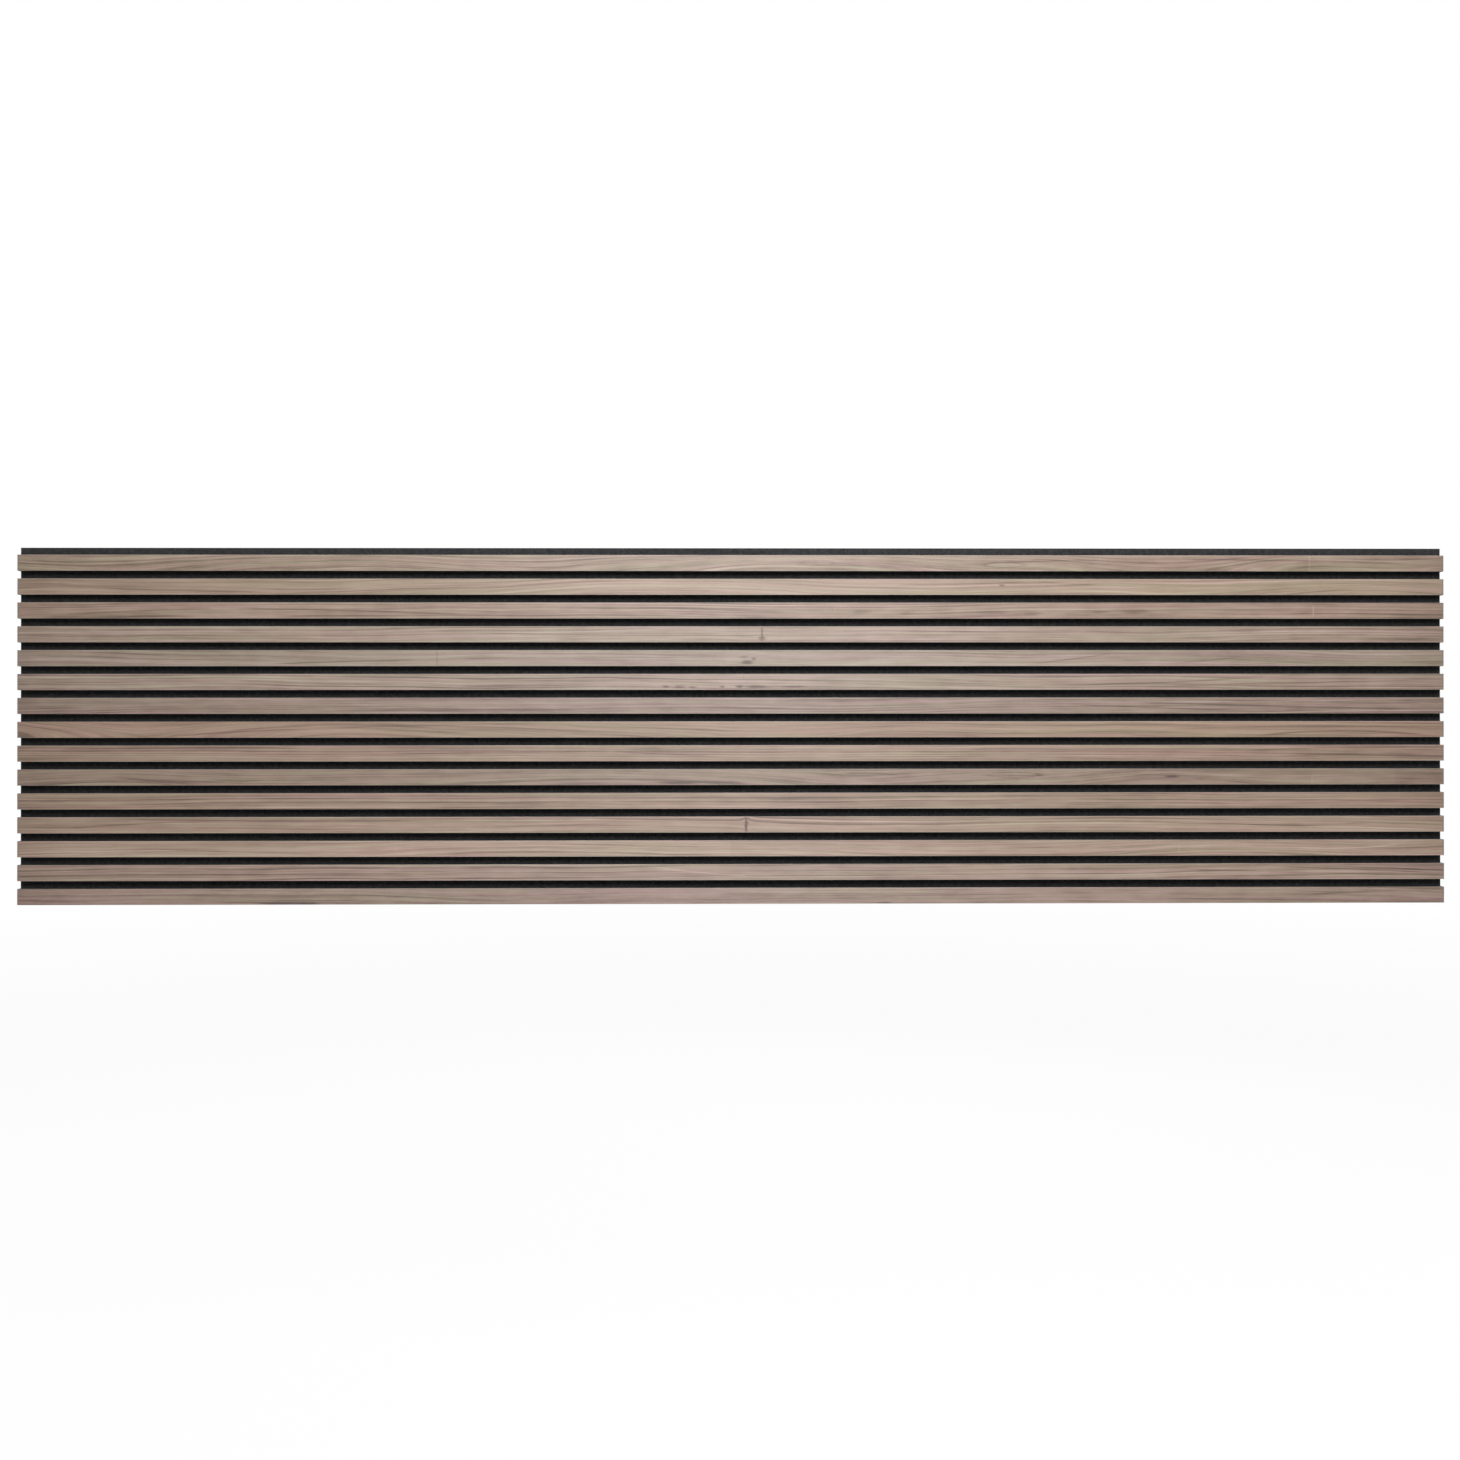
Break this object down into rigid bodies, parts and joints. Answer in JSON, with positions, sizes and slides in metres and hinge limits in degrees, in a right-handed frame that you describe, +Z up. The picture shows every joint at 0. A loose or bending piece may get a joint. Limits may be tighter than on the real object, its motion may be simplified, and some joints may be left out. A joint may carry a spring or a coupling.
{
  "type": "acoustic panel",
  "caption": "Slatted acoustic wall panel: walnut-veneered fibreboard slats, glued and stapled level across a black felt backing board.",
  "frame": {"origin": "centre of the felt board's back face, which lies against the wall", "axes": "+X along the slats to the right, seen from the front; +Y into the wall; +Z up. The front faces -Y."},
  "size_m": [2.4, 0.021, 0.6],
  "materials": {
    "black_felt": "pressed felt, matte",
    "black_fibreboard": "black-dyed fibreboard, matte",
    "walnut_veneer": "walnut veneer, fine sanded, matte clear coat",
    "staple_wire": "galvanised flat wire"
  },
  "bodies": {
    "root": {"felt_backing": "black_felt", "slat_core_01": "black_fibreboard", "slat_core_02": "black_fibreboard", "slat_core_03": "black_fibreboard", "slat_core_04": "black_fibreboard", "slat_core_05": "black_fibreboard", "slat_core_06": "black_fibreboard", "slat_core_07": "black_fibreboard", "slat_core_08": "black_fibreboard", "slat_core_09": "black_fibreboard", "slat_core_10": "black_fibreboard", "slat_core_11": "black_fibreboard", "slat_core_12": "black_fibreboard", "slat_core_13": "black_fibreboard", "slat_core_14": "black_fibreboard", "slat_core_15": "black_fibreboard", "slat_veneer_01": "walnut_veneer", "slat_veneer_02": "walnut_veneer", "slat_veneer_03": "walnut_veneer", "slat_veneer_04": "walnut_veneer", "slat_veneer_05": "walnut_veneer", "slat_veneer_06": "walnut_veneer", "slat_veneer_07": "walnut_veneer", "slat_veneer_08": "walnut_veneer", "slat_veneer_09": "walnut_veneer", "slat_veneer_10": "walnut_veneer", "slat_veneer_11": "walnut_veneer", "slat_veneer_12": "walnut_veneer", "slat_veneer_13": "walnut_veneer", "slat_veneer_14": "walnut_veneer", "slat_veneer_15": "walnut_veneer", "staples": "staple_wire"}
  },
  "joints": []
}
